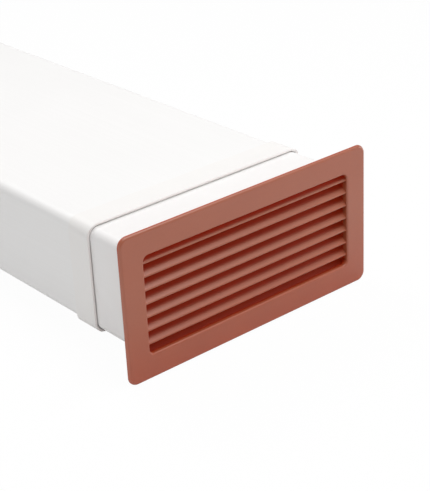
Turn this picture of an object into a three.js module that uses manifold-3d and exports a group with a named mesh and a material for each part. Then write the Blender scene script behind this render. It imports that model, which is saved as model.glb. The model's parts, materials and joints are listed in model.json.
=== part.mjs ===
// A louvred outside-wall terminal on flat rectangular ducting, in millimetres.
// +X runs along the grille's width, +Y goes into the wall along the duct and +Z is up.
// The origin is on the duct's axis, in the plane of the wall that the grille's back sits on.
import * as THREE from "three";
import { mergeVertices } from "three/addons/utils/BufferGeometryUtils.js";
import Module from "manifold-3d";

const wasm = await Module();
wasm.setup();

// Flat ducting: the straight length and the terminal's spigot share this section.
const DUCT_WIDTH = 220;
const DUCT_HEIGHT = 90;
const DUCT_WALL = 1.5;
const DUCT_CORNER = 8;
const DUCT_LENGTH = 500;

// The spigot behind the wall plane, and the connector that joins it to the duct.
const SPIGOT_SHOWING = 60;
const CONNECTOR_LENGTH = 26.5;
const CONNECTOR_WALL = 2.25;
const CONNECTOR_CLEARANCE = 0.5;
const STOP_RIB = 2;
const END_GAP = 0.3;

// The grille's face plate, hollowed behind between its outer rim and the land round the spigot.
// It stands past the spigot by one margin at the sides and another above and below.
const PLATE_SIDE_MARGIN = 18;
const PLATE_TOP_MARGIN = 17.75;
const PLATE_DEPTH = 3.2;
const PLATE_CORNER = 8;
const PLATE_EDGE_ROUND = 2;
const PLATE_RIM = 3;
const PLATE_LAND = 4;
const PLATE_POCKET = 1.2;

// The skirt that plugs into the spigot. Its inside is also the grille's opening.
const SKIRT_WALL = 1.3;
const SKIRT_CLEARANCE = 0.3;
const SKIRT_LENGTH = 14;
const BEAD_SETBACK = 3;
const BEAD_WIDTH = 2;
const BEAD_LENGTH = 24;
const BEAD_HEIGHT = 0.2;

// The fixed slats, as many as fit the opening at about this pitch, and the mullion that ties them.
const SLAT_PITCH = 11.45;
const SLAT_TOP_GAP = 6.05;
const SLAT_FOOT_GAP = 9.05;
const SLAT_THICKNESS = 2;
const SLAT_ANGLE = THREE.MathUtils.degToRad(43);
const SLAT_SETBACK = 1.6;
const SLAT_REAR = 11;
const SILL_SLAT_DROP = 12.85;
const MULLION_WIDTH = 2;
const MULLION_FRONT = 9;

// The back-draught damper's frame, held in the spigot between lugs.
const FRAME_SETBACK = 9.95;
const FRAME_DEPTH = 20;
const FRAME_WALL = 2;
const FRAME_CLEARANCE = 0.3;
const SEAT_SETBACK = 15.5;
const SEAT_THICKNESS = 2;
const SEAT_REACH = 4;
const CROSSBAR_HEIGHT = 6;
const CROSSBAR_RISE = 2.1;
const LUG_WIDTH = 12;
const LUG_DEPTH = 3;
const LUG_HEIGHT = 1;

// The gravity blades, their moulded pivot pins and the stops that end their swing.
const BLADE_NAMES = ["damper_blade_upper", "damper_blade_middle", "damper_blade_lower"];
const BLADE_THICKNESS = 1.2;
const BLADE_LIP = 1.2;
const BLADE_EDGE_GAP = 1.2;
const BLADE_SIDE_CLEARANCE = 0.35;
const BLADE_SEAT_GAP = 0.4;
const BLADE_RIM = 1;
const BLADE_BEAD_HEIGHT = 2.5;
const BLADE_BEAD_DEPTH = 1;
const PIVOT_TO_SEAT = 1.8;
const PIN_RADIUS = 1.5;
const PIN_CLEARANCE = 0.1;
const PIN_SIDES = 24;
const OPEN_ANGLE = THREE.MathUtils.degToRad(80);
const STOP_SETBACK = 8.5;
const STOP_LENGTH = 3;
const STOP_REACH = 3;
const STOP_HEIGHT = 2;
const STOP_GAP = 0.4;

// How far joined shapes run into each other, the tightest corner, and the steps in each quarter of a round.
const WELD = 0.4;
const TIGHTEST_CORNER = 0.2;
const ARC_STEPS = 5;

const terracottaPlastic = { color: 0xa8685a, roughness: 0.45, metalness: 0 };
const whitePlastic = { color: 0xe6e4e2, roughness: 0.4, metalness: 0 };
const damperPlastic = { color: 0xd8d6d2, roughness: 0.5, metalness: 0 };

// ---- sections, in the X-Z plane and centred on the duct's axis ----

// The same section, larger by `by` on every side, or smaller where `by` is negative.
function grown({ width, height, corner }, by) {
  return {
    width: width + 2 * by,
    height: height + 2 * by,
    corner: Math.max(corner + by, TIGHTEST_CORNER),
  };
}

function outline({ width, height, corner }) {
  const x = width / 2 - corner;
  const z = height / 2 - corner;
  const quarter = Math.PI / 2;
  const shape = new THREE.Shape();
  shape.absarc(x, z, corner, 0, quarter);
  shape.absarc(-x, z, corner, quarter, 2 * quarter);
  shape.absarc(-x, -z, corner, 2 * quarter, 3 * quarter);
  shape.absarc(x, -z, corner, 3 * quarter, 4 * quarter);
  return shape.closePath();
}

function ring(outside, inside) {
  const shape = outline(outside);
  shape.holes.push(outline(inside));
  return shape;
}

const ductOutside = { width: DUCT_WIDTH, height: DUCT_HEIGHT, corner: DUCT_CORNER };
const ductInside = grown(ductOutside, -DUCT_WALL);
const connectorInside = grown(ductOutside, CONNECTOR_CLEARANCE);
const connectorOutside = grown(connectorInside, CONNECTOR_WALL);
const plateOutside = {
  width: DUCT_WIDTH + 2 * PLATE_SIDE_MARGIN,
  height: DUCT_HEIGHT + 2 * PLATE_TOP_MARGIN,
  corner: PLATE_CORNER,
};
const skirtOutside = grown(ductInside, -SKIRT_CLEARANCE);
const opening = grown(skirtOutside, -SKIRT_WALL);
const frameOutside = grown(ductInside, -FRAME_CLEARANCE);
const frameInside = grown(frameOutside, -FRAME_WALL);

// How far a round corner stands in from the side, at a given distance below the top.
function cornerInset(radius, below) {
  return below < radius ? radius - Math.sqrt(radius ** 2 - (radius - below) ** 2) : 0;
}

// ---- stations along the duct, the slats' spacing, and the blades' pivots ----

const ribFront = SPIGOT_SHOWING + (CONNECTOR_LENGTH - STOP_RIB) / 2;
const ribRear = ribFront + STOP_RIB;
const spigotRear = ribFront - END_GAP;
const ductFront = ribRear + END_GAP;
const frameRear = spigotRear - FRAME_SETBACK;
const frameFront = frameRear - FRAME_DEPTH;
const seatFront = frameFront + SEAT_SETBACK;
const pivotDepth = seatFront - PIVOT_TO_SEAT;

const bladePitch = (frameInside.height - BLADE_EDGE_GAP) / BLADE_NAMES.length;
const bladeDrop = bladePitch - BLADE_EDGE_GAP - BLADE_LIP;
const bladeSideGap = cornerInset(frameInside.corner, BLADE_EDGE_GAP) + BLADE_SIDE_CLEARANCE;
const bladeWidth = frameInside.width - 2 * bladeSideGap;
const topPivot = frameInside.height / 2 - BLADE_EDGE_GAP - BLADE_LIP;
const pivotHeights = BLADE_NAMES.map((_, i) => topPivot - i * bladePitch);
const pinInset = cornerInset(ductInside.corner, ductInside.height / 2 - topPivot - PIN_RADIUS);
const pinLength = ductInside.width - 2 * (pinInset + END_GAP);

const slatSpan = opening.height - SLAT_TOP_GAP - SLAT_FOOT_GAP;
const slatCount = Math.round(slatSpan / SLAT_PITCH) + 1;
const topSlat = opening.height / 2 - SLAT_TOP_GAP;

// ---- shapes ----

// A shape in the X-Z plane, extruded along the duct from one depth to another.
function alongDuct(shape, from, to, options = {}) {
  const plain = { depth: to - from, bevelEnabled: false, curveSegments: ARC_STEPS };
  const geometry = new THREE.ExtrudeGeometry(shape, { ...plain, ...options });
  return geometry.rotateX(Math.PI / 2).translate(0, to, 0);
}

// A shape in the Y-Z plane, extruded across the duct and centred on its axis.
function acrossDuct(shape, width) {
  const plain = { depth: width, bevelEnabled: false, curveSegments: ARC_STEPS };
  const axes = [new THREE.Vector3(0, 1, 0), new THREE.Vector3(0, 0, 1), new THREE.Vector3(1, 0, 0)];
  const turn = new THREE.Matrix4().makeBasis(...axes);
  return new THREE.ExtrudeGeometry(shape, plain).applyMatrix4(turn).translate(-width / 2, 0, 0);
}

function brick(size, centre) {
  return new THREE.BoxGeometry(...size).translate(...centre);
}

// A round bar along X, centred on the duct's axis at a depth and a height.
function barAcross(radius, length, y, z) {
  const bar = new THREE.CylinderGeometry(radius, radius, length, PIN_SIDES);
  return bar.rotateZ(Math.PI / 2).translate(0, y, z);
}

// Six pads round a section, from one depth to another: two on the top, two on the bottom and one on
// each side. `low` and `high` are measured outwards from the section's surface.
function sixPads({ width, height }, length, [from, to], [low, high]) {
  const depth = to - from;
  const y = (from + to) / 2;
  const out = (low + high) / 2;
  const pads = [];
  for (const side of [-1, 1]) {
    pads.push(brick([high - low, depth, length], [side * (width / 2 + out), y, 0]));
    for (const end of [-1, 1]) {
      const place = [(end * width) / 4, y, side * (height / 2 + out)];
      pads.push(brick([length, depth, high - low], place));
    }
  }
  return pads;
}

// ---- joining and cutting ----

function solid(geometry) {
  const loose = geometry.index ? geometry.toNonIndexed() : geometry;
  const bare = new THREE.BufferGeometry();
  bare.setAttribute("position", loose.getAttribute("position"));
  const merged = mergeVertices(bare, 1e-4);
  return new wasm.Manifold(
    new wasm.Mesh({
      numProp: 3,
      vertProperties: new Float32Array(merged.getAttribute("position").array),
      triVerts: new Uint32Array(merged.index.array),
    }),
  );
}

function joined(geometries) {
  return geometries.map(solid).reduce((whole, next) => whole.add(next));
}

function meshOf(name, manifold, finish) {
  const { vertProperties, triVerts } = manifold.getMesh();
  const geometry = new THREE.BufferGeometry();
  geometry.setAttribute("position", new THREE.BufferAttribute(vertProperties, 3));
  geometry.setIndex(new THREE.BufferAttribute(triVerts, 1));
  const faceted = geometry.toNonIndexed();
  faceted.computeVertexNormals();
  const mesh = new THREE.Mesh(faceted, new THREE.MeshStandardMaterial(finish));
  mesh.name = name;
  return mesh;
}

// ---- the grille ----

// The plate's front edges are rounded, both outside and round the opening. The rounding is made at
// both ends of a double-depth plate, and the rear half is cut away.
function facePlate() {
  const rounded = alongDuct(ring(plateOutside, opening), PLATE_EDGE_ROUND - PLATE_DEPTH, PLATE_DEPTH, {
    bevelEnabled: true,
    bevelThickness: PLATE_EDGE_ROUND,
    bevelSize: PLATE_EDGE_ROUND,
    bevelOffset: -PLATE_EDGE_ROUND,
    bevelSegments: ARC_STEPS,
  });
  const { width, height } = plateOutside;
  const frontHalf = brick([2 * width, PLATE_DEPTH, 2 * height], [0, -PLATE_DEPTH / 2, 0]);
  const pocket = ring(grown(plateOutside, -PLATE_RIM), grown(ductOutside, PLATE_LAND));
  return solid(rounded)
    .intersect(solid(frontHalf))
    .subtract(solid(alongDuct(pocket, -PLATE_POCKET, PLATE_POCKET)));
}

// One slat's section: a sloping blade with a round nose, its rear end left long for trimming.
function slatSection(noseHeight) {
  const radius = SLAT_THICKNESS / 2;
  const noseDepth = SLAT_SETBACK - PLATE_DEPTH + radius;
  const tailDepth = SLAT_REAR + SLAT_THICKNESS;
  const tailHeight = noseHeight + (tailDepth - noseDepth) * Math.tan(SLAT_ANGLE);
  const square = Math.PI / 2;
  const shape = new THREE.Shape();
  shape.absarc(noseDepth, noseHeight, radius, SLAT_ANGLE + square, SLAT_ANGLE + 3 * square);
  shape.absarc(tailDepth, tailHeight, radius, SLAT_ANGLE - square, SLAT_ANGLE + square);
  return shape.closePath();
}

// Below the fixed slats lies one more. Its nose is buried in the sill, so rain that reaches it runs out.
function slatsAndMullion() {
  const pieces = [];
  for (let i = 0; i < slatCount; i += 1) {
    const noseHeight = topSlat - (i * slatSpan) / (slatCount - 1);
    pieces.push(acrossDuct(slatSection(noseHeight), DUCT_WIDTH));
  }
  pieces.push(acrossDuct(slatSection(topSlat - slatSpan - SILL_SLAT_DROP), DUCT_WIDTH));
  const mullionDepth = SLAT_REAR - MULLION_FRONT;
  pieces.push(
    brick([MULLION_WIDTH, mullionDepth, DUCT_HEIGHT], [0, MULLION_FRONT + mullionDepth / 2, 0]),
  );
  const trim = alongDuct(outline(grown(opening, WELD)), -PLATE_DEPTH, SLAT_REAR);
  return joined(pieces).intersect(solid(trim));
}

function louvreGrille() {
  const skirt = alongDuct(ring(skirtOutside, opening), PLATE_EDGE_ROUND - PLATE_DEPTH, SKIRT_LENGTH);
  const beadRear = SKIRT_LENGTH - BEAD_SETBACK;
  const beadSpan = [beadRear - BEAD_WIDTH, beadRear];
  const beads = sixPads(skirtOutside, BEAD_LENGTH, beadSpan, [-WELD, BEAD_HEIGHT]);
  const whole = facePlate().add(slatsAndMullion()).add(joined([skirt, ...beads]));
  return meshOf("louvre_grille", whole, terracottaPlastic);
}

// ---- the duct run: spigot, connector and straight length ----

// Lugs in front of the damper's frame and behind it hold it in the spigot.
function terminalSpigot() {
  const lugSpans = [
    [frameFront - END_GAP - LUG_DEPTH, frameFront - END_GAP],
    [frameRear + END_GAP, frameRear + END_GAP + LUG_DEPTH],
  ];
  const lugs = lugSpans.flatMap((span) => sixPads(ductInside, LUG_WIDTH, span, [-LUG_HEIGHT, WELD]));
  const wall = alongDuct(ring(ductOutside, ductInside), END_GAP, spigotRear);
  return meshOf("terminal_spigot", joined([wall, ...lugs]), whitePlastic);
}

// A sleeve over both ends, with a rib between them that is flush with their insides.
function connectorSleeve() {
  const connectorRear = SPIGOT_SHOWING + CONNECTOR_LENGTH;
  const sleeve = alongDuct(ring(connectorOutside, connectorInside), SPIGOT_SHOWING, connectorRear);
  const rib = alongDuct(ring(grown(connectorInside, WELD), ductInside), ribFront, ribRear);
  return meshOf("connector_sleeve", joined([sleeve, rib]), whitePlastic);
}

function ductLength() {
  const wall = alongDuct(ring(ductOutside, ductInside), ductFront, ductFront + DUCT_LENGTH);
  return meshOf("duct_length", solid(wall), whitePlastic);
}

// ---- the damper ----

// The height above its pivot of an open blade's front face, at the setback of the stops.
function openFaceHeight() {
  const down = (STOP_SETBACK - BLADE_THICKNESS * Math.cos(OPEN_ANGLE)) / Math.sin(OPEN_ANGLE);
  return BLADE_THICKNESS * Math.sin(OPEN_ANGLE) - down * Math.cos(OPEN_ANGLE);
}

// A tube with a seat that the blades close against, a crossbar where each two blades meet, bores for
// the pivot pins and a pair of stops above each blade.
function damperFrame() {
  const seatRear = seatFront + SEAT_THICKNESS;
  const seat = ring(grown(frameInside, WELD), grown(frameInside, -SEAT_REACH));
  const pieces = [
    alongDuct(ring(frameOutside, frameInside), frameFront, frameRear),
    alongDuct(seat, seatFront, seatRear),
  ];
  for (const pivot of pivotHeights.slice(1)) {
    const size = [frameInside.width + 2 * WELD, SEAT_THICKNESS, CROSSBAR_HEIGHT];
    pieces.push(brick(size, [0, (seatFront + seatRear) / 2, pivot + CROSSBAR_RISE]));
  }
  const stopWidth = STOP_REACH + WELD;
  const stopX = frameInside.width / 2 + WELD - stopWidth / 2;
  const stopY = pivotDepth - STOP_SETBACK - STOP_LENGTH / 2;
  const stopRise = openFaceHeight() + STOP_GAP + STOP_HEIGHT / 2;
  for (const pivot of pivotHeights) {
    for (const side of [-1, 1]) {
      const place = [side * stopX, stopY, pivot + stopRise];
      pieces.push(brick([stopWidth, STOP_LENGTH, STOP_HEIGHT], place));
    }
  }
  const boreRadius = PIN_RADIUS + PIN_CLEARANCE;
  const bores = pivotHeights.map((z) => barAcross(boreRadius, DUCT_WIDTH, pivotDepth, z));
  const trim = solid(alongDuct(outline(frameOutside), frameFront, frameRear));
  const frame = joined(pieces).intersect(trim).subtract(joined(bores));
  return meshOf("damper_frame", frame, damperPlastic);
}

// One blade, drawn about its own pivot: a thin panel in front of the pivot's axis, a rim behind it
// that meets the seat, and a bead along its foot whose weight keeps it shut.
function damperBlade(name) {
  const panelHeight = bladeDrop + BLADE_LIP;
  const rimDepth = PIVOT_TO_SEAT - BLADE_SEAT_GAP;
  const rimY = (rimDepth - WELD) / 2;
  const sideRimTop = -PIN_RADIUS;
  const sideRimHeight = bladeDrop + sideRimTop;
  const pieces = [
    brick([bladeWidth, BLADE_THICKNESS, panelHeight], [0, -BLADE_THICKNESS / 2, BLADE_LIP - panelHeight / 2]),
    brick([bladeWidth, rimDepth + WELD, BLADE_RIM], [0, rimY, BLADE_RIM / 2 - bladeDrop]),
    brick(
      [bladeWidth, BLADE_BEAD_DEPTH + WELD, BLADE_BEAD_HEIGHT],
      [0, (WELD - BLADE_BEAD_DEPTH) / 2 - BLADE_THICKNESS, BLADE_BEAD_HEIGHT / 2 - bladeDrop],
    ),
    barAcross(PIN_RADIUS, pinLength, 0, 0),
  ];
  for (const side of [-1, 1]) {
    const x = (side * (bladeWidth - BLADE_RIM)) / 2;
    const size = [BLADE_RIM, rimDepth + WELD, sideRimHeight];
    pieces.push(brick(size, [x, rimY, sideRimTop - sideRimHeight / 2]));
  }
  return meshOf(name, joined(pieces), damperPlastic);
}

// ---- the assembly ----

const damper = new THREE.Group();
damper.add(damperFrame());
BLADE_NAMES.forEach((name, i) => {
  const blade = damperBlade(name);
  blade.position.set(0, pivotDepth, pivotHeights[i]);
  damper.add(blade);
});

const ductRun = new THREE.Group();
ductRun.add(terminalSpigot(), connectorSleeve(), ductLength());

const terminal = new THREE.Group();
terminal.add(louvreGrille(), ductRun, damper);

export default terminal;
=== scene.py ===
# %% [markdown]
# # A louvred wall terminal on flat ducting
#
# A cooker hood or a fan blows its air through a flat white duct to an outside wall. There the duct ends
# in a terracotta grille that is shaped like an air brick, so that it sits quietly in brickwork.
# Between the two is a short spigot with a gravity damper in it, and a sleeve that joins spigot and duct.
#
# This lesson builds the looks of that assembly around a model whose sizes are already settled.
# The settled model is loaded first and never changes. Each new piece takes its place from it, so a
# piece that is modelled here can't drift away from the one that it stands for.

import json
import math

import bmesh
import bpy
from mathutils import Matrix, Vector


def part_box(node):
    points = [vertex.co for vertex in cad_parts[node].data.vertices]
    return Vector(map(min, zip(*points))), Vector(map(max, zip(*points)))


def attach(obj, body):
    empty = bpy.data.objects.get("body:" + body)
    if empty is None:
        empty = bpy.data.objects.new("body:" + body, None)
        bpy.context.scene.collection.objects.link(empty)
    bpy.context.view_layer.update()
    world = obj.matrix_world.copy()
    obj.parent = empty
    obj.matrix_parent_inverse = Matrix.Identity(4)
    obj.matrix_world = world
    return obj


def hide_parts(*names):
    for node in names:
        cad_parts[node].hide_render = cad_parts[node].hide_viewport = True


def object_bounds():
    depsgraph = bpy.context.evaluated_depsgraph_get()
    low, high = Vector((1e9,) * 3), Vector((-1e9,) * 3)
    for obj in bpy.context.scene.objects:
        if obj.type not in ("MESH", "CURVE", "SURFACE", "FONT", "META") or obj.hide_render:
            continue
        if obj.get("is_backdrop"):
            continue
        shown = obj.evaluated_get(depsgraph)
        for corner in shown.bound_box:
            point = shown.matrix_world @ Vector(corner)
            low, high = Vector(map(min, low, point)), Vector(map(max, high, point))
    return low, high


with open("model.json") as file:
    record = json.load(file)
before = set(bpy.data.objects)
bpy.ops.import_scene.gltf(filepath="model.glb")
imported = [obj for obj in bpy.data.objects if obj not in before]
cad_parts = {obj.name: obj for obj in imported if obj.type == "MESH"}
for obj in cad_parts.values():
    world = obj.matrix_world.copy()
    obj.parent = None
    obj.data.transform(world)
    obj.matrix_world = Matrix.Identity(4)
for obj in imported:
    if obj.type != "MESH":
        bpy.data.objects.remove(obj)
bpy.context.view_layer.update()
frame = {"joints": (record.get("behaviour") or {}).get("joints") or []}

# %% [markdown]
# ## Places and sizes
#
# Everything is in metres. X runs along the grille's width, Y goes into the wall along the duct, and Z is
# up. Each box below is a settled piece's lowest and highest corner. Walls, gaps and corner radii can't be
# read from a box, so they are written once here, in the sizes of common 220 by 90 mm flat ducting.

# %% Read the settled pieces' boxes
MM = 0.001
grille_low, grille_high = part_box("louvre_grille")
spigot_low, spigot_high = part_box("terminal_spigot")
sleeve_low, sleeve_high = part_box("connector_sleeve")
duct_low, duct_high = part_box("duct_length")
damper_low, damper_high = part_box("damper_frame")

DUCT_WALL = 1.5 * MM
DUCT_CORNER = 8 * MM
CORNER_STEPS = 12
# Solids that are joined overlap by this much, so that no gap or shared face is left between them.
WELD = 0.4 * MM
print("duct section in mm:", [round(1000 * side, 1) for side in duct_high - duct_low])

# %% [markdown]
# ## The camera
#
# A long object is looked at through a long lens from some way off, so that the far end doesn't shrink.
# A 101 mm lens on a full-frame sensor, a little over a metre away, does that here.
# The camera is aimed by its azimuth, its elevation and a slight roll, and these three turns give its axes.

# %% Place the camera
CAMERA_PLACE = Vector((-0.6430, -0.7419, 0.4926))
CAMERA_AZIMUTH = math.radians(-39.316)
CAMERA_ELEVATION = math.radians(25.980)
CAMERA_ROLL = math.radians(-2.990)
CAMERA_LENS = 101.0

flat = math.cos(CAMERA_ELEVATION)
back_x = math.sin(CAMERA_AZIMUTH) * flat
back_y = -math.cos(CAMERA_AZIMUTH) * flat
backwards = Vector((back_x, back_y, math.sin(CAMERA_ELEVATION)))
level = Vector((0, 0, 1)).cross(backwards).normalized()
upright = backwards.cross(level)
turn = Matrix((level, upright, backwards)).transposed() @ Matrix.Rotation(CAMERA_ROLL, 3, "Z")

lens = bpy.data.cameras.new("camera")
lens.lens = CAMERA_LENS
lens.clip_start = 0.01
camera = bpy.data.objects.new("camera", lens)
bpy.context.scene.collection.objects.link(camera)
camera.matrix_world = Matrix.Translation(CAMERA_PLACE) @ turn.to_4x4()
bpy.context.scene.camera = camera
bpy.context.scene.view_settings.view_transform = "Standard"
print("camera is", round(CAMERA_PLACE.length, 2), "m from the wall opening")

# %% [markdown]
# ## Helpers for modelling
#
# An operator acts on whatever is selected, and loading the model left all of it selected. So every job
# starts with `clear_selection`, and `only` then selects one piece. `pick` opens a piece in edit mode and
# selects faces or edges by a test of their place or direction, which a hand would do with a mouse.

# %% Select one piece, and part of a piece
def clear_selection():
    """Leaves edit mode and deselects everything."""
    if bpy.context.mode != "OBJECT":
        bpy.ops.object.mode_set(mode="OBJECT")
    bpy.ops.object.select_all(action="DESELECT")


def only(piece):
    """Selects this piece alone and makes it the active one."""
    clear_selection()
    bpy.context.view_layer.objects.active = piece
    piece.select_set(True)


def pick(piece, kind, wanted):
    """Opens piece in edit mode and selects the faces or edges that pass the test."""
    only(piece)
    bpy.ops.object.mode_set(mode="EDIT")
    bpy.ops.mesh.select_mode(type=kind)
    bpy.ops.mesh.select_all(action="DESELECT")
    shape = bmesh.from_edit_mesh(piece.data)
    for part in shape.faces if kind == "FACE" else shape.edges:
        part.select_set(wanted(part))
    bmesh.update_edit_mesh(piece.data)


# %% [markdown]
# Most edges are found by three questions: which way does the edge run, how deep along the duct is it,
# and is it a true corner rather than a line across a flat face? A depth is a place on the Y axis. The two
# ends of a tube are often asked for together, and `within` tells the edges inside a wall from those outside.

# %% Tests for edges
# Places that differ by less than this are taken as the same.
CLOSE = 0.01 * MM
PARALLEL = 0.999
CORNER_ANGLE = math.radians(40)


def runs_along(edge, axis):
    """True where an edge is parallel to an axis: 0 for X, 1 for Y and 2 for Z."""
    way = edge.verts[1].co - edge.verts[0].co
    return abs(way[axis]) > PARALLEL * way.length


def at_depth(edge, depth):
    """True for a corner edge that lies at one depth along the duct."""
    level_with = all(abs(vert.co.y - depth) < CLOSE for vert in edge.verts)
    return level_with and edge.calc_face_angle(0) > CORNER_ANGLE


def at_ends(edge, low, high):
    """True for a corner edge at the front or the rear end of a box."""
    return at_depth(edge, low.y) or at_depth(edge, high.y)


def within(edge, x, z):
    """True where both ends of an edge are no further from the duct's axis than x and z."""
    return all(abs(vert.co.x) < x + CLOSE and abs(vert.co.z) < z + CLOSE for vert in edge.verts)


# %% [markdown]
# A moulded piece has no knife edges, so nearly every edge gets a bevel. `block` adds a box that is
# ready to be shaped and `round_edges` bevels the edges that pass a test. `modify` adds a modifier and
# applies it at once, so that the piece is plain mesh again and the next step can select its faces.
# `merge` joins two solids with a Boolean, or cuts one out of the other, as a mould's inserts would. Where
# edges cross, a Boolean can leave two points a hair apart, and these are joined again at once.

# %% Make a box, round edges, apply a modifier, join and cut
# Points that a Boolean leaves nearer to each other than this are one point.
SPECK = 0.002 * MM


def block(name, low, high):
    """A box from its lowest to its highest corner, with its place held in its mesh."""
    low, high = Vector(low), Vector(high)
    clear_selection()
    bpy.ops.mesh.primitive_cube_add(size=1, location=(low + high) / 2)
    piece = bpy.context.object
    piece.name = piece.data.name = name
    piece.scale = high - low
    bpy.ops.object.transform_apply(location=True, rotation=True, scale=True)
    return piece


def round_edges(piece, radius, steps, wanted):
    """Rounds the edges that pass the test. One step makes a flat chamfer."""
    pick(piece, "EDGE", wanted)
    bpy.ops.mesh.bevel(offset=radius, segments=steps, profile=0.5, affect="EDGES")
    bpy.ops.object.mode_set(mode="OBJECT")


def modify(piece, kind, **settings):
    """Adds a modifier with its settings and applies it."""
    only(piece)
    modifier = piece.modifiers.new(kind.lower(), kind)
    for name, value in settings.items():
        setattr(modifier, name, value)
    bpy.ops.object.modifier_apply(modifier=modifier.name)


def merge(piece, other, operation="UNION"):
    """Joins another solid to piece, cuts it away, or keeps what both hold. The other one is used up."""
    modify(piece, "BOOLEAN", object=other, operation=operation, solver="EXACT")
    bpy.data.objects.remove(other)
    pick(piece, "FACE", lambda face: True)
    bpy.ops.mesh.remove_doubles(threshold=SPECK)
    bpy.ops.object.mode_set(mode="OBJECT")


def copy_to(piece, name, shift=(0, 0, 0), turn=0):
    """A copy with its own mesh, turned about the duct's axis by an angle and then shifted."""
    only(piece)
    bpy.ops.object.duplicate()
    made = bpy.context.object
    made.name = made.data.name = name
    made.rotation_euler.y = turn
    made.location = shift
    bpy.ops.object.transform_apply(location=True, rotation=True, scale=True)
    return made


# %% [markdown]
# ## The rounded tube
#
# Spigot, sleeve and duct share one shape: a tube whose section is a rectangle with round corners.
# A box stands for the outside. Its four long edges are bevelled to the corner radius, its two ends are
# deleted, and a Solidify modifier grows the wall inwards, which keeps the outside at its exact size.

# %% Make a tube with round corners
def rounded_block(name, low, high, corner):
    """A box whose four edges along the duct are round."""
    piece = block(name, low, high)
    round_edges(piece, corner, CORNER_STEPS, lambda edge: runs_along(edge, 1))
    return piece


def tube(name, low, high, corner, wall):
    """An open tube along the duct, from its outside corners, its corner radius and its wall."""
    piece = rounded_block(name, low, high, corner)
    pick(piece, "FACE", lambda face: abs(face.normal.y) > PARALLEL)
    bpy.ops.mesh.delete(type="FACE")
    modify(piece, "SOLIDIFY", thickness=wall, offset=-1, use_even_offset=True)
    return piece


def section(half_width, half_height, front, rear):
    """The lowest and highest corner of a box that is centred on the duct's axis."""
    return Vector((-half_width, front, -half_height)), Vector((half_width, rear, half_height))


# %% [markdown]
# A curve looks round only when its faces are shaded smooth, but then the flats beside it pick up a false
# roll. Shading by angle keeps real corners sharp. A Weighted Normal modifier then lets the large flat
# faces decide the normals along their own borders, so that flats stay flat and curves stay round.

# %% Finish a piece's shading
SMOOTH_ANGLE = math.radians(32)


def finish_faces(piece):
    """Shades curves smooth, keeps flats flat and says how large the mesh is."""
    only(piece)
    bpy.ops.object.shade_smooth_by_angle(angle=SMOOTH_ANGLE)
    modify(piece, "WEIGHTED_NORMAL", keep_sharp=True, weight=100)
    triangles = sum(len(face.vertices) - 2 for face in piece.data.polygons)
    size = [round(1000 * side, 1) for side in piece.dimensions]
    print(piece.name, "is", size, "mm and has", triangles, "triangles")


# %% [markdown]
# ## The duct
#
# The straight duct is extruded: warm PVC is pushed through a die, pulled through a cooling bath and sawn
# to length. Its section is the same all the way, and a saw leaves crisp ends with only the burr wiped off.

# %% Model the duct
SAWN_EDGE = 0.15 * MM

duct = tube("flat_duct", duct_low, duct_high, DUCT_CORNER, DUCT_WALL)
round_edges(duct, SAWN_EDGE, 1, lambda edge: at_ends(edge, duct_low, duct_high))
finish_faces(duct)

# %% [markdown]
# ## The spigot
#
# The spigot has the duct's own section, so that any flat fitting pushes over it. It is moulded, so its
# rims are soft. Inside are two rows of six small lugs, and the damper's frame snaps in between the rows.
# One lug is modelled with its edges rounded and then copied round the wall.

# %% Model the spigot and its lugs
MOULDED_RIM = 0.4 * MM
LUG_LENGTH = 12 * MM
LUG_DEPTH = 3 * MM
LUG_HEIGHT = 1 * MM
LUG_ROUND = 0.4 * MM
LUG_GAP = 0.3 * MM

spigot = tube("spigot", spigot_low, spigot_high, DUCT_CORNER, DUCT_WALL)
round_edges(spigot, MOULDED_RIM, 3, lambda edge: at_ends(edge, spigot_low, spigot_high))


def pads_round(half_width, half_height, pad, name):
    """Six copies of a pad that lies on the top: two above, two below and one at each side."""
    places = []
    for up, turned in ((1, 0), (-1, math.pi)):
        for along in (-half_width / 2, half_width / 2):
            places.append(((along, 0, up * half_height), turned))
    for side, turned in ((1, math.pi / 2), (-1, -math.pi / 2)):
        places.append(((side * half_width, 0, 0), turned))
    return [copy_to(pad, name, shift, turned) for shift, turned in places]


inner_x = spigot_high.x - DUCT_WALL
inner_z = spigot_high.z - DUCT_WALL
for lug_front in (damper_low.y - LUG_GAP - LUG_DEPTH, damper_high.y + LUG_GAP):
    lug_low = (-LUG_LENGTH / 2, lug_front, -LUG_HEIGHT)
    lug = block("lug", lug_low, (LUG_LENGTH / 2, lug_front + LUG_DEPTH, WELD))
    round_edges(lug, LUG_ROUND, 3, lambda edge: any(vert.co.z < 0 for vert in edge.verts))
    for pad in pads_round(inner_x, inner_z, lug, "spigot_lug"):
        merge(spigot, pad)
    bpy.data.objects.remove(lug)
finish_faces(spigot)

# %% [markdown]
# ## The connecting sleeve
#
# The sleeve is a moulded socket from both ends. A rib in its middle stops each end at half way and is
# flush with the ducts' insides, so that the air meets no step. Its mouths flare open inside, which
# guides the duct in and leaves a fine dark line all round, and its outer lips are round to the touch.

# %% Model the sleeve with its stop rib and flared mouths
SLEEVE_WALL = 2.25 * MM
SLEEVE_CLEARANCE = 0.5 * MM
SLEEVE_CORNER = DUCT_CORNER + SLEEVE_CLEARANCE + SLEEVE_WALL
RIB_LENGTH = 2 * MM
MOUTH_FLARE = 0.8 * MM
SLEEVE_LIP = 1.3 * MM

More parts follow.
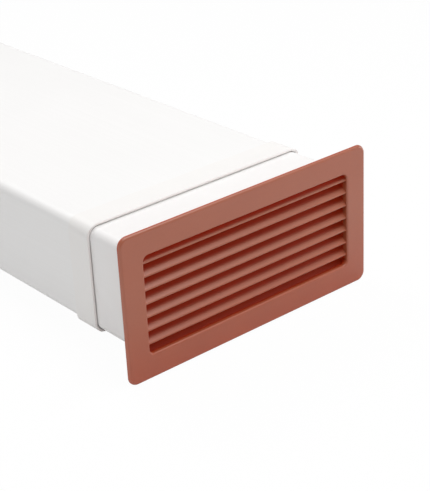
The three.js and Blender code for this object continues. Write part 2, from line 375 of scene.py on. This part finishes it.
socket_x = sleeve_high.x - SLEEVE_WALL
socket_z = sleeve_high.z - SLEEVE_WALL
sleeve = tube("connecting_sleeve", sleeve_low, sleeve_high, SLEEVE_CORNER, SLEEVE_WALL)
lip_x = sleeve_high.x - WELD
lip_z = sleeve_high.z - WELD
for mouth in (sleeve_low.y, sleeve_high.y):
    round_edges(
        sleeve, MOUTH_FLARE, 2, lambda edge: at_depth(edge, mouth) and within(edge, socket_x, socket_z)
    )
    round_edges(
        sleeve, SLEEVE_LIP, 4, lambda edge: at_depth(edge, mouth) and not within(edge, lip_x, lip_z)
    )

rib_front = (sleeve_low.y + sleeve_high.y - RIB_LENGTH) / 2
rib_box = section(socket_x + WELD, socket_z + WELD, rib_front, rib_front + RIB_LENGTH)
rib_wall = WELD + SLEEVE_CLEARANCE + DUCT_WALL
rib = tube("stop_rib", *rib_box, DUCT_CORNER + SLEEVE_CLEARANCE + WELD, rib_wall)
merge(sleeve, rib)
finish_faces(sleeve)

# %% [markdown]
# ## The grille's plate and skirt
#
# The grille is one injection moulding. Its plate laps over the wall, its skirt plugs into the spigot, and
# its slats cross the opening. A mould's cavity is cut from solid blocks, and the same order works here:
# the plate and the skirt are joined, the opening is cut through both, and each rim then gets its radius.

# %% Model the plate and the skirt
PLATE_DEPTH = 3.2 * MM
PLATE_CORNER = 8 * MM
PLATE_ROUND = 2.4 * MM
PLATE_BACK_ROUND = 0.3 * MM
SKIRT_CLEARANCE = 0.3 * MM
SKIRT_WALL = 1.3 * MM
OPENING_ROUND = 1.7 * MM

front = grille_low.y
back = front + PLATE_DEPTH
skirt_end = grille_high.y
skirt_x = inner_x - SKIRT_CLEARANCE
skirt_z = inner_z - SKIRT_CLEARANCE
opening_x = skirt_x - SKIRT_WALL
opening_z = skirt_z - SKIRT_WALL
skirt_corner = DUCT_CORNER - DUCT_WALL - SKIRT_CLEARANCE
opening_corner = skirt_corner - SKIRT_WALL

grille = rounded_block("louvred_grille", *section(grille_high.x, grille_high.z, front, back), PLATE_CORNER)
round_edges(grille, PLATE_ROUND, 6, lambda edge: at_depth(edge, front))
round_edges(grille, PLATE_BACK_ROUND, 2, lambda edge: at_depth(edge, back))
skirt_box = section(skirt_x, skirt_z, (front + back) / 2, skirt_end)
merge(grille, rounded_block("skirt", *skirt_box, skirt_corner))
opening_box = section(opening_x, opening_z, front - PLATE_DEPTH, skirt_end + PLATE_DEPTH)
merge(grille, rounded_block("opening", *opening_box, opening_corner), "DIFFERENCE")
round_edges(
    grille, OPENING_ROUND, 5, lambda edge: at_depth(edge, front) and within(edge, opening_x, opening_z)
)
round_edges(grille, PLATE_BACK_ROUND, 2, lambda edge: at_depth(edge, skirt_end))
print("opening in mm:", round(2000 * opening_x, 1), "by", round(2000 * opening_z, 1))

# %% [markdown]
# Thick plastic shrinks and dimples as it cools, so the back of the plate is hollowed between its rim and
# the land round the skirt. Only the rim touches the wall, and it can follow a slightly rough brick face.

# %% Hollow the plate's back
PLATE_RIM = 3 * MM
PLATE_LAND = 4 * MM
POCKET_DEPTH = 1.2 * MM

pocket_x = grille_high.x - PLATE_RIM
pocket_z = grille_high.z - PLATE_RIM
pocket_box = section(pocket_x, pocket_z, back - POCKET_DEPTH, back + WELD)
pocket = rounded_block("pocket", *pocket_box, PLATE_CORNER - PLATE_RIM)
land_x = spigot_high.x + PLATE_LAND
land_z = spigot_high.z + PLATE_LAND
land_box = section(land_x, land_z, back - 2 * POCKET_DEPTH, back + 2 * WELD)
merge(pocket, rounded_block("land", *land_box, DUCT_CORNER + PLATE_LAND), "DIFFERENCE")
merge(grille, pocket, "DIFFERENCE")
print("pocket is", round(1000 * POCKET_DEPTH, 1), "mm deep in a", round(1000 * PLATE_DEPTH, 1), "mm plate")

# %% [markdown]
# ## The slats
#
# Each slat is a thin blade that slopes up into the wall at 43 degrees, so that rain runs off its nose and
# can't be blown in. Its nose is a full round. One blade is made lying flat, its two front edges are
# bevelled until they meet, and it is turned about its nose. Copies step down by one pitch. One more is set
# lower, with its nose buried, so that the sill slopes too. A block of the opening's own shape then trims
# them all to length at once.

# %% Model one slat and copy it down the opening
SLAT_COUNT = 7
SLAT_TOP_GAP = 6.05 * MM
SLAT_FOOT_GAP = 9.05 * MM
SLAT_THICKNESS = 2 * MM
SLAT_ANGLE = math.radians(43)
SLAT_SETBACK = 1.6 * MM
SLAT_REAR = 11 * MM
SLAT_NOSE_STEPS = 8
SILL_SLAT_DROP = 12.85 * MM
# A bevel of exactly half the thickness would leave two edges in one place, so it stops just short.
NEARLY_FULL_ROUND = 0.99

nose_radius = SLAT_THICKNESS / 2
nose = Vector((0, front + SLAT_SETBACK + nose_radius, opening_z - SLAT_TOP_GAP))
slat_pitch = (2 * opening_z - SLAT_TOP_GAP - SLAT_FOOT_GAP) / (SLAT_COUNT - 1)
blade_length = 2 * (SLAT_REAR - nose.y)

slats = block(
    "slats",
    nose - Vector((spigot_high.x, nose_radius, nose_radius)),
    nose + Vector((spigot_high.x, blade_length, nose_radius)),
)
round_edges(
    slats,
    NEARLY_FULL_ROUND * nose_radius,
    SLAT_NOSE_STEPS,
    lambda edge: runs_along(edge, 0) and all(vert.co.y < nose.y for vert in edge.verts),
)
pick(slats, "FACE", lambda face: True)
bpy.ops.transform.rotate(value=-SLAT_ANGLE, orient_axis="X", center_override=nose)
bpy.ops.object.mode_set(mode="OBJECT")
rear_height = max(vert.co.z for vert in slats.data.vertices)
print("slat rises", "into the wall" if rear_height > nose.z + SLAT_THICKNESS else "the wrong way")

first_slat = copy_to(slats, "first_slat")
for step in range(1, SLAT_COUNT):
    merge(slats, copy_to(first_slat, "slat", (0, 0, -step * slat_pitch)))
sill_drop = (SLAT_COUNT - 1) * slat_pitch + SILL_SLAT_DROP
merge(slats, copy_to(first_slat, "sill_slat", (0, 0, -sill_drop)))
bpy.data.objects.remove(first_slat)
print("slat pitch in mm:", round(1000 * slat_pitch, 2))

# %% [markdown]
# A thin mullion across the slats' back edges ties them at mid-width, or they would bow as they cool. The
# mullion and the slats are trimmed together and then joined to the plate, and the grille is one solid again.

# %% Add the mullion, trim the slats and join them to the plate
MULLION_WIDTH = 2 * MM
MULLION_ROUND = 0.5 * MM
MULLION_FRONT = 9 * MM

mullion = block("mullion", *section(MULLION_WIDTH / 2, spigot_high.z, MULLION_FRONT, SLAT_REAR))
round_edges(mullion, MULLION_ROUND, 3, lambda edge: runs_along(edge, 2))
merge(slats, mullion)
trim_box = section(opening_x + WELD, opening_z + WELD, front, SLAT_REAR)
merge(slats, rounded_block("trim", *trim_box, opening_corner + WELD), "INTERSECT")
merge(grille, slats)
print("grille has", len(grille.data.polygons), "faces with its slats")

# %% [markdown]
# Six snap beads round the skirt click into the spigot's wall. They are only a fraction of a millimetre
# high, and their edges are soft so that the grille can be levered off again to clean it.

# %% Add the snap beads and finish the grille
BEAD_LENGTH = 24 * MM
BEAD_WIDTH = 2 * MM
BEAD_SETBACK = 3 * MM
BEAD_HEIGHT = 0.2 * MM
BEAD_ROUND = 0.8 * BEAD_HEIGHT

bead_rear = skirt_end - BEAD_SETBACK
bead_low = (-BEAD_LENGTH / 2, bead_rear - BEAD_WIDTH, -WELD)
bead = block("bead", bead_low, (BEAD_LENGTH / 2, bead_rear, BEAD_HEIGHT))
round_edges(bead, BEAD_ROUND, 3, lambda edge: all(vert.co.z > 0 for vert in edge.verts))
for pad in pads_round(skirt_x, skirt_z, bead, "snap_bead"):
    merge(grille, pad)
bpy.data.objects.remove(bead)
finish_faces(grille)

# %% [markdown]
# ## The damper's frame
#
# Behind the grille sits a gravity damper, which lets air out and keeps the wind from blowing in. Its frame
# is a short tube that slides into the spigot with the same clearance and corners as the skirt. Inside it
# are a seat that the blades shut against, a crossbar wherever two blades meet, bores for the pivot pins
# and a pair of small stops above each blade.

# %% Model the damper's frame
FRAME_WALL = 2 * MM
SEAT_THICKNESS = 2 * MM
SEAT_REACH = 4 * MM
PIVOT_TO_SEAT = 1.8 * MM
CROSSBAR_HEIGHT = 6 * MM
CROSSBAR_RISE = 2.1 * MM
PIN_RADIUS = 1.5 * MM
PIN_CLEARANCE = 0.1 * MM
PIN_SIDES = 32
PART_ROUND = 0.3 * MM

hinges = [joint for joint in frame["joints"] if joint["type"] == "hinge"]
pivots = {hinge["child"]: Vector(hinge["pos_m"]) for hinge in hinges}
seat_front = max(pivot.y for pivot in pivots.values()) + PIVOT_TO_SEAT
frame_x = damper_high.x - FRAME_WALL
frame_z = damper_high.z - FRAME_WALL

damper = tube("damper_housing", damper_low, damper_high, skirt_corner, FRAME_WALL)
round_edges(damper, PART_ROUND, 2, lambda edge: at_ends(edge, damper_low, damper_high))
seat_box = section(frame_x + WELD, frame_z + WELD, seat_front, seat_front + SEAT_THICKNESS)
seat = tube("seat", *seat_box, skirt_corner - FRAME_WALL + WELD, SEAT_REACH + WELD)
round_edges(seat, PART_ROUND, 2, lambda edge: at_depth(edge, seat_front))
merge(damper, seat)

crossbar_heights = sorted(pivot.z + CROSSBAR_RISE for pivot in pivots.values())[:-1]
for height in crossbar_heights:
    low = Vector((-frame_x - WELD, seat_front, height - CROSSBAR_HEIGHT / 2))
    bar = block("crossbar", low, (frame_x + WELD, seat_front + SEAT_THICKNESS, low.z + CROSSBAR_HEIGHT))
    round_edges(bar, PART_ROUND, 2, lambda edge: runs_along(edge, 0) and at_depth(edge, seat_front))
    merge(damper, bar)
print("crossbars at", [round(1000 * height, 1) for height in crossbar_heights], "mm")

# %% [markdown]
# A stop is a small block on each side wall. Where it sits follows from the open blade: the blade turns
# through 80 degrees about its pin, and the stop waits a small gap beyond the face that swings up to it.

# %% Add the stops and drill the bores
BLADE_THICKNESS = 1.2 * MM
OPEN_ANGLE = math.radians(80)
STOP_SETBACK = 8.5 * MM
STOP_LENGTH = 3 * MM
STOP_REACH = 3 * MM
STOP_HEIGHT = 2 * MM
STOP_GAP = 0.4 * MM

# How far down the open blade the stop is, and how high above the pin the blade's front face lies there.
down_blade = (STOP_SETBACK - BLADE_THICKNESS * math.cos(OPEN_ANGLE)) / math.sin(OPEN_ANGLE)
open_face = BLADE_THICKNESS * math.sin(OPEN_ANGLE) - down_blade * math.cos(OPEN_ANGLE)
for pivot in pivots.values():
    low = pivot + Vector((frame_x - STOP_REACH, -STOP_SETBACK - STOP_LENGTH, open_face + STOP_GAP))
    stop = block("stop", low, low + Vector((STOP_REACH + WELD, STOP_LENGTH, STOP_HEIGHT)))
    round_edges(stop, PART_ROUND, 2, lambda edge: runs_along(edge, 1))
    stop_across = copy_to(stop, "stop", (0, 0, 2 * low.z + STOP_HEIGHT), math.pi)
    merge(damper, stop)
    merge(damper, stop_across)


def bar_across(name, radius, half_length, place):
    """A round bar along X, with its middle at a place."""
    clear_selection()
    bpy.ops.mesh.primitive_cylinder_add(
        vertices=PIN_SIDES,
        radius=radius,
        depth=2 * half_length,
        location=place,
        rotation=(0, math.pi / 2, 0),
    )
    bar = bpy.context.object
    bar.name = bar.data.name = name
    bpy.ops.object.transform_apply(location=True, rotation=True, scale=True)
    return bar


for pivot in pivots.values():
    bore = bar_across("bore", PIN_RADIUS + PIN_CLEARANCE, spigot_high.x, pivot)
    merge(damper, bore, "DIFFERENCE")
finish_faces(damper)

# %% [markdown]
# ## The blades
#
# A blade is a thin moulded panel that hangs from two pins. A shallow rim behind it stiffens it and closes
# on the seat, and a bead along its foot gives it enough weight to fall shut. The three are the same, so
# one is modelled about the top pivot and copied down to the other two.

# %% Model one damper blade and copy it
BLADE_LIP = 1.2 * MM
BLADE_RIM = 1 * MM
BLADE_BEAD_HEIGHT = 2.5 * MM
BLADE_BEAD_DEPTH = 1 * MM
BLADE_SEAT_GAP = 0.4 * MM
BLADE_SIDE_GAP = 1.6 * MM
BLADE_ROUND = 0.35 * MM

top = pivots["blade_upper"]
blade_low, blade_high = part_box("damper_blade_upper")
blade_x = frame_x - BLADE_SIDE_GAP
rim_rear = top.y + PIVOT_TO_SEAT - BLADE_SEAT_GAP
foot = blade_low.z

blade_face = top.y - BLADE_THICKNESS
blade = block("upper_blade", (-blade_x, blade_face, foot), (blade_x, top.y, top.z + BLADE_LIP))
round_edges(blade, BLADE_ROUND, 3, lambda edge: at_depth(edge, blade_face))
rim = block("rim", (-blade_x, top.y - WELD, foot), (blade_x, rim_rear, top.z - PIN_RADIUS))
hollow_x = blade_x - BLADE_RIM
hollow = block("hollow", (-hollow_x, top.y - 2 * WELD, foot + BLADE_RIM), (hollow_x, seat_front, top.z))
merge(rim, hollow, "DIFFERENCE")
round_edges(rim, PART_ROUND, 2, lambda edge: at_depth(edge, rim_rear))
merge(blade, rim)
bead_front = blade_face - BLADE_BEAD_DEPTH
foot_bead = block("bead", (-blade_x, bead_front, foot), (blade_x, top.y - WELD, foot + BLADE_BEAD_HEIGHT))
round_edges(foot_bead, BLADE_ROUND, 3, lambda edge: at_depth(edge, bead_front))
merge(blade, foot_bead)
pin = bar_across("pin", PIN_RADIUS, blade_high.x, top)
round_edges(pin, BLADE_ROUND, 2, lambda edge: edge.calc_face_angle(0) > CORNER_ANGLE)
merge(blade, pin)
finish_faces(blade)

blades = {"blade_upper": blade}
for name, body in (("middle_blade", "blade_middle"), ("lower_blade", "blade_lower")):
    blades[body] = copy_to(blade, name, pivots[body] - top)
    print(name, "hangs", round(1000 * (top.z - pivots[body].z), 1), "mm below the upper one")

# %% [markdown]
# ## Colours and nodes
#
# Every colour below is written as a hex value, the way that paint and screen colours are given. Shaders
# add and multiply light, so each value is turned to linear light by one function. A second function adds
# a node with its settings and its links in one call, so a material reads as a list of what it is made of.

# %% Turn hex to linear, and add a node
def linear(hex_colour):
    """An sRGB hex colour as linear red, green, blue and alpha."""
    channels = [int(hex_colour[i : i + 2], 16) / 255 for i in (1, 3, 5)]
    return [c / 12.92 if c <= 0.04045 else ((c + 0.055) / 1.055) ** 2.4 for c in channels] + [1.0]


def add(tree, kind, values, links, give=None, **settings):
    """Adds a node with its sockets' values, its links and its settings, and gives back one output."""
    node = tree.nodes.new(kind)
    for name, value in settings.items():
        setattr(node, name, value)
    sockets = {socket.identifier: socket for socket in node.inputs}
    for name, value in values.items():
        sockets[name].default_value = value
    for name, source in links.items():
        tree.links.new(source, sockets[name])
    if give:
        return node.outputs[give]
    return next((socket for socket in node.outputs if socket.enabled), node)


def empty_tree(owner):
    """The emptied node tree of a material or a world."""
    owner.use_nodes = True
    owner.node_tree.nodes.clear()
    return owner.node_tree


print("screen grey #808080 is", round(linear("#808080")[0], 3), "in linear light")

# %% [markdown]
# ## Painted light and shade on the grille
#
# The grille's colour holds painted light and shade. The plate and the noses of the slats, where the lamps
# fall, are painted a paler red with a stronger sheen. Behind each nose a deeper red is painted as shade,
# which makes the louvres look deep. How far a point is painted as shaded follows from its place: its depth
# behind the plate's face, and a little extra painted shade under the plate's rim and over the sill.

# %% Find how far a place is painted as lit or shaded
# Painted shade: where the grille is painted lit or shaded, and how it darkens towards its foot.
FULLY_LIT_DEPTH = 0.3 * MM
FULLY_SHADED_DEPTH = 3.3 * MM
RIM_SHADE = 2.4 * MM
RIM_SHADE_STARTS = 0.6 * MM
RIM_SHADE_FULL = 1.4 * MM
SILL_SHADE = 1.5 * MM
SILL_SHADE_STARTS = 7.5 * MM
SILL_SHADE_FULL = 6 * MM
DARKENING_HEAD = -5 * MM
DARKENING_FOOT = -62 * MM
LIGHT_AT_FOOT = 0.76


def painted_light_and_shade(tree, place):
    """1 where the grille is painted lit, falling to 0 in the painted shade behind its slats' noses."""
    depth = add(tree, "ShaderNodeSeparateXYZ", {}, {"Vector": place}, give="Y")
    height = add(tree, "ShaderNodeSeparateXYZ", {}, {"Vector": place}, give="Z")
    # Painted shade: the rim stands out further over the top slat than that slat's nose does over the next.
    nose_height = opening_z - SLAT_TOP_GAP
    rim_span = {"From Min": nose_height + RIM_SHADE_STARTS, "From Max": nose_height + RIM_SHADE_FULL}
    rim = add(tree, "ShaderNodeMapRange", {**rim_span, "To Max": RIM_SHADE}, {"Value": height})
    # Painted shade: the gap over the sill is as deep, because the slat in it starts further back.
    sill_span = {"From Min": SILL_SHADE_STARTS - opening_z, "From Max": SILL_SHADE_FULL - opening_z}
    sill = add(tree, "ShaderNodeMapRange", {**sill_span, "To Max": SILL_SHADE}, {"Value": height})
    extra_shade = add(tree, "ShaderNodeMath", {}, {"Value": rim, "Value_001": sill}, operation="ADD")
    shade_depth = add(tree, "ShaderNodeMath", {}, {"Value": depth, "Value_001": extra_shade}, operation="ADD")
    painted_lit = add(
        tree,
        "ShaderNodeMapRange",
        {"From Min": FULLY_SHADED_DEPTH, "From Max": FULLY_LIT_DEPTH},
        {"Value": shade_depth},
        interpolation_type="SMOOTHSTEP",
    )
    # Painted shade: the grille is painted darker and redder towards its foot than at its head.
    lit_by_height = add(
        tree,
        "ShaderNodeMapRange",
        {"From Min": DARKENING_FOOT, "From Max": DARKENING_HEAD, "To Min": LIGHT_AT_FOOT},
        {"Value": height},
    )
    links = {"Value": painted_lit, "Value_001": lit_by_height}
    return add(tree, "ShaderNodeMath", {}, links, operation="MULTIPLY")


# %% [markdown]
# ## Terracotta plastic
#
# The grille is injection-moulded ABS, coloured right through to pass for fired clay. The mould is finely
# spark-eroded, so the surface has a satin sheen instead of a gloss, and a grain that breaks reflections
# up. Pigment never mixes perfectly, so broad patches are a little redder or paler. The raised edges get a
# painted highlight, a shade lighter, found by comparing the true normal with a rounded one.

# %% Make the terracotta plastic
PLASTIC_IOR = 1.53
PIGMENT_PATCH = 45 * MM
HANDLING_PATCH = 22 * MM
# Spark-erosion grain is a few hundredths of a millimetre; 0.9 mm is the finest that shows here.
SPARK_GRAIN = 0.9 * MM
SPARK_GRAIN_DEPTH = 0.02 * MM
# Painted highlight: how far in from an edge it reaches.
EDGE_HIGHLIGHT_RADIUS = 0.7 * MM


def moulded_terracotta_abs():
    """Satin brick-red ABS: painted light and shade, pigment drift, a fine grain, painted edge highlights."""
    material = bpy.data.materials.new("moulded_terracotta_abs")
    tree = empty_tree(material)
    place = add(tree, "ShaderNodeTexCoord", {}, {}, give="Object")
    # Painted light: 1 where the grille is painted lit, 0 in its painted shade.
    painted_light = painted_light_and_shade(tree, place)

    drift = add(tree, "ShaderNodeTexNoise", {"Scale": 1 / PIGMENT_PATCH, "Detail": 3.0}, {"Vector": place})
    # Painted shade: the deep red below is painted in the shade, and the paler red after it where light
    # falls.
    shaded_red = add(
        tree,
        "ShaderNodeMix",
        {"A_Color": linear("#B12C05"), "B_Color": linear("#BD3207")},
        {"Factor_Float": drift},
        data_type="RGBA",
    )
    lit_red = add(
        tree,
        "ShaderNodeMix",
        {"A_Color": linear("#9E4820"), "B_Color": linear("#A9522A")},
        {"Factor_Float": drift},
        data_type="RGBA",
    )
    pigment_and_painted_shade = add(
        tree,
        "ShaderNodeMix",
        {},
        {"Factor_Float": painted_light, "A_Color": shaded_red, "B_Color": lit_red},
        data_type="RGBA",
    )
    grain = add(tree, "ShaderNodeTexNoise", {"Scale": 1 / SPARK_GRAIN, "Detail": 2.0}, {"Vector": place})
    speckled = add(
        tree,
        "ShaderNodeMix",
        {"Factor_Float": 0.10},
        {"A_Color": pigment_and_painted_shade, "B_Color": grain},
        data_type="RGBA",
        blend_type="SOFT_LIGHT",
    )
    rounded = add(tree, "ShaderNodeBevel", {"Radius": EDGE_HIGHLIGHT_RADIUS}, {}, samples=4)
    true_normal = add(tree, "ShaderNodeNewGeometry", {}, {}, give="Normal")
    same = add(
        tree,
        "ShaderNodeVectorMath",
        {},
        {"Vector": rounded, "Vector_001": true_normal},
        give="Value",
        operation="DOT_PRODUCT",
    )
    # Painted highlight: the raised edges are painted up to 18 percent of the way to a pale pink.
    painted_edge_highlight = add(
        tree,
        "ShaderNodeMapRange",
        {"From Min": 0.98, "From Max": 0.80, "To Min": 0.0, "To Max": 0.18},
        {"Value": same},
    )
    with_edge_highlight = add(
        tree,
        "ShaderNodeMix",
        {"B_Color": linear("#BD7D66")},
        {"Factor_Float": painted_edge_highlight, "A_Color": speckled},
        data_type="RGBA",
    )
    # Painted reflection: the sheen is stronger where light is painted and weaker in the painted shade.
    painted_sheen = add(tree, "ShaderNodeMapRange", {"To Min": 0.3, "To Max": 1.1}, {"Value": painted_light})
    handling = add(
        tree, "ShaderNodeTexNoise", {"Scale": 1 / HANDLING_PATCH, "Detail": 4.0}, {"Vector": place}
    )
    satin = add(tree, "ShaderNodeMapRange", {"To Min": 0.44, "To Max": 0.54}, {"Value": handling})
    bumps = add(
        tree, "ShaderNodeBump", {"Strength": 0.35, "Distance": SPARK_GRAIN_DEPTH}, {"Height": grain}
    )
    plastic = add(
        tree,
        "ShaderNodeBsdfPrincipled",
        {"IOR": PLASTIC_IOR},
        {"Base Color": with_edge_highlight, "Specular IOR Level": painted_sheen, "Roughness": satin, "Normal": bumps},
    )
    add(tree, "ShaderNodeOutputMaterial", {}, {"Surface": plastic})
    print(material.name, "is made of", len(tree.nodes), "nodes")
    return material


# %% [markdown]
# ## White plastics
#
# Three whites sit side by side and none is quite the same. The duct is extruded PVC: the die draws fine
# lines along it and leaves a satin face. Sleeve and spigot are moulded PVC, a shade duller, and the
# sleeve's batch is a touch warmer. The damper is thin natural polypropylene, which is the creamiest of all
# and a little shinier. Each has its own pattern, at the size that its way of making gives it.

# %% Make the extruded white
# Die lines are about a tenth of a millimetre apart; 1.6 mm is the finest that shows here.
DIE_LINE = 1.6 * MM
DIE_LINE_LENGTH = 420 * MM
DIE_LINE_DEPTH = 0.02 * MM
SMUDGE = 60 * MM


def extruded_white_pvc():
    """Satin white PVC with faint draw lines that run along the duct."""
    material = bpy.data.materials.new("extruded_white_pvc")
    tree = empty_tree(material)
    place = add(tree, "ShaderNodeTexCoord", {}, {}, give="Object")

    stretch = (1 / DIE_LINE, 1 / DIE_LINE_LENGTH, 1 / DIE_LINE)
    drawn = add(tree, "ShaderNodeMapping", {"Scale": stretch}, {"Vector": place})
    lines = add(tree, "ShaderNodeTexNoise", {"Scale": 1.0, "Detail": 2.0}, {"Vector": drawn})
    white = add(
        tree,
        "ShaderNodeMix",
        {"A_Color": linear("#EDECEB"), "B_Color": linear("#F1F0EF")},
        {"Factor_Float": lines},
        data_type="RGBA",
    )
    smudges = add(tree, "ShaderNodeTexNoise", {"Scale": 1 / SMUDGE, "Detail": 4.0}, {"Vector": place})
    satin = add(tree, "ShaderNodeMapRange", {"To Min": 0.46, "To Max": 0.58}, {"Value": smudges})
    ridges = add(tree, "ShaderNodeBump", {"Strength": 0.25, "Distance": DIE_LINE_DEPTH}, {"Height": lines})
    plastic = add(
        tree,
        "ShaderNodeBsdfPrincipled",
        {"IOR": PLASTIC_IOR},
        {"Base Color": white, "Roughness": satin, "Normal": ridges},
    )
    add(tree, "ShaderNodeOutputMaterial", {}, {"Surface": plastic})
    print(material.name, "is made of", len(tree.nodes), "nodes")
    return material


# %% [markdown]
# Moulded white plastics differ only in tint, sheen and grain, so one function makes all three. Where the
# melt cooled as it ran, it leaves flow marks: broad, faint swirls that are seen best in a low light.

# %% Make the moulded whites
FLOW_MARK = 35 * MM
MOULD_GRAIN_DEPTH = 0.015 * MM


def moulded_white(name, deep, pale, sheen, grain_size):
    """Moulded white plastic with flow marks, from two tints, a lowest and highest roughness and a grain."""
    material = bpy.data.materials.new(name)
    tree = empty_tree(material)
    place = add(tree, "ShaderNodeTexCoord", {}, {}, give="Object")

    flow = add(
        tree,
        "ShaderNodeTexNoise",
        {"Scale": 1 / FLOW_MARK, "Detail": 3.0, "Distortion": 1.2},
        {"Vector": place},
    )
    white = add(
        tree,
        "ShaderNodeMix",
        {"A_Color": linear(deep), "B_Color": linear(pale)},
        {"Factor_Float": flow},
        data_type="RGBA",
    )
    grain = add(tree, "ShaderNodeTexNoise", {"Scale": 1 / grain_size, "Detail": 2.0}, {"Vector": place})
    satin = add(tree, "ShaderNodeMapRange", {"To Min": sheen[0], "To Max": sheen[1]}, {"Value": flow})
    bumps = add(tree, "ShaderNodeBump", {"Strength": 0.3, "Distance": MOULD_GRAIN_DEPTH}, {"Height": grain})
    plastic = add(
        tree,
        "ShaderNodeBsdfPrincipled",
        {"IOR": PLASTIC_IOR},
        {"Base Color": white, "Roughness": satin, "Normal": bumps},
    )
    add(tree, "ShaderNodeOutputMaterial", {}, {"Surface": plastic})
    print(material.name, "is made of", len(tree.nodes), "nodes")
    return material


# %% [markdown]
# ## Put the finishes on and tie the pieces to their bodies
#
# Each new piece rides on the body of the piece that it stands for, and hides that piece.
# So when the grille is pulled out or a blade swings, its finished look goes with it.

# %% Finish every piece
# A fine moulded grain is a tenth of a millimetre or less, and is drawn coarser so that it shows here.
PVC_GRAIN = 0.8 * MM
POLYPROPYLENE_GRAIN = 0.7 * MM
PVC_SHEEN = (0.48, 0.60)
POLYPROPYLENE_SHEEN = (0.42, 0.55)

terracotta = moulded_terracotta_abs()
extruded = extruded_white_pvc()
spigot_white = moulded_white("moulded_white_pvc", "#EDEBEA", "#F0EFEE", PVC_SHEEN, PVC_GRAIN)
sleeve_white = moulded_white("moulded_warm_white_pvc", "#EDEBE9", "#F0EEEC", PVC_SHEEN, PVC_GRAIN)
natural = moulded_white(
    "moulded_natural_polypropylene", "#DCD9D3", "#E4E1DB", POLYPROPYLENE_SHEEN, POLYPROPYLENE_GRAIN
)

pieces = [
    (grille, "louvre_grille", "grille", "terracotta_plastic", terracotta),
    (spigot, "terminal_spigot", "terminal", "white_plastic", spigot_white),
    (sleeve, "connector_sleeve", "connector", "sleeve_plastic", sleeve_white),
    (duct, "duct_length", "duct", "duct_plastic", extruded),
    (damper, "damper_frame", "terminal", "damper_plastic", natural),
]
for body, hung in blades.items():
    pieces.append((hung, "damper_" + body, body, "damper_plastic", natural))

for piece, node, body, slot, material in pieces:
    piece.data.materials.clear()
    piece.data.materials.append(material)
    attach(piece, body)
    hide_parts(node)

# %% [markdown]
# ## Floor, world and light
#
# The background is white paper. A floor that is lit like the object can't be pure white without the
# object's white plastic burning out, so most of what the camera sees of it is plain white, and the rest
# is its lit surface, which keeps the object's shadow. Reflections and bounced light see the lit paper.

# %% Lay the floor
FLOOR_SIZE = 12
FLOOR_GAP = 0.2 * MM
FLOOR_WHITENESS = 0.97


def seen_directly(tree):
    """1 for the camera's own rays, and 0 for the rays that light the object or show in its sheen."""
    return add(tree, "ShaderNodeLightPath", {}, {}, give="Is Camera Ray")


def white_paper():
    """Pale matt paper that the camera sees as nearly white, with a soft shadow left on it."""
    material = bpy.data.materials.new("white_paper")
    tree = empty_tree(material)
    paper = add(tree, "ShaderNodeBsdfDiffuse", {"Color": linear("#F4F4F4")}, {})
    white = add(tree, "ShaderNodeEmission", {"Strength": 1.0}, {})
    share = add(
        tree,
        "ShaderNodeMath",
        {"Value_001": FLOOR_WHITENESS},
        {"Value": seen_directly(tree)},
        operation="MULTIPLY",
    )
    seen = add(tree, "ShaderNodeMixShader", {}, {"Fac": share, "Shader": paper, "Shader_001": white})
    add(tree, "ShaderNodeOutputMaterial", {}, {"Surface": seen})
    return material


clear_selection()
bpy.ops.mesh.primitive_plane_add(size=FLOOR_SIZE, location=(0, 0, grille_low.z - FLOOR_GAP))
floor = bpy.context.object
floor.name = "floor"
floor.data.materials.append(white_paper())
floor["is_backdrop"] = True
print("floor lies", round(-1000 * floor.location.z, 1), "mm below the duct's axis")

# %% [markdown]
# Four soft lamps do the rest. The key hangs high in front: it lights the top and the nose of each slat, and
# leaves the wedge behind it dark, which is what makes the louvres read. One lamp stands behind for the
# long top. Two low cards lift the sides, a weak one on the left and one on the right that brightens that
# end of the plate. The world fills the shadows.

# %% Light the object
FILL = 0.34
LAMP_DISTANCE = 1.25
LAMP_AIM = Vector((0, 0.05, 0))

world = bpy.data.worlds.new("studio")
bpy.context.scene.world = world
tree = empty_tree(world)
plain = (1, 1, 1, 1)
fill = add(tree, "ShaderNodeBackground", {"Color": plain, "Strength": FILL}, {})
white = add(tree, "ShaderNodeBackground", {"Color": plain, "Strength": 1.0}, {})
sky_links = {"Fac": seen_directly(tree), "Shader": fill, "Shader_001": white}
sky = add(tree, "ShaderNodeMixShader", {}, sky_links)
add(tree, "ShaderNodeOutputWorld", {}, {"Surface": sky})


def soft_lamp(name, elevation, azimuth, width, depth, power):
    """A soft lamp that faces the object. Azimuth turns from the front towards the left."""
    up = math.radians(elevation)
    around = math.radians(azimuth)
    away = Vector((-math.sin(around) * math.cos(up), -math.cos(around) * math.cos(up), math.sin(up)))
    lamp = bpy.data.lights.new(name, "AREA")
    lamp.shape = "RECTANGLE"
    lamp.size = width
    lamp.size_y = depth
    lamp.energy = power
    stand = bpy.data.objects.new(name, lamp)
    bpy.context.scene.collection.objects.link(stand)
    stand.location = LAMP_AIM + LAMP_DISTANCE * away
    stand.rotation_mode = "QUATERNION"
    stand.rotation_quaternion = away.to_track_quat("Z", "Y")
    print(name, "gives", power, "W from", elevation, "degrees up")


soft_lamp("key", elevation=68, azimuth=-33, width=0.9, depth=0.13, power=8.9)
soft_lamp("behind", elevation=50, azimuth=180, width=0.5, depth=0.5, power=5.3)
soft_lamp("low_card", elevation=16, azimuth=90, width=0.5, depth=0.5, power=1.85)
soft_lamp("right_card", elevation=8, azimuth=-72, width=0.5, depth=0.5, power=3.6)

# %% [markdown]
# ## The finished size
#
# A finished look should not grow past the settled model. Its size is written out here.

# %% Write the finished size
low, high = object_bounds()
print("visual size in mm:", [round(1000 * side, 1) for side in high - low])
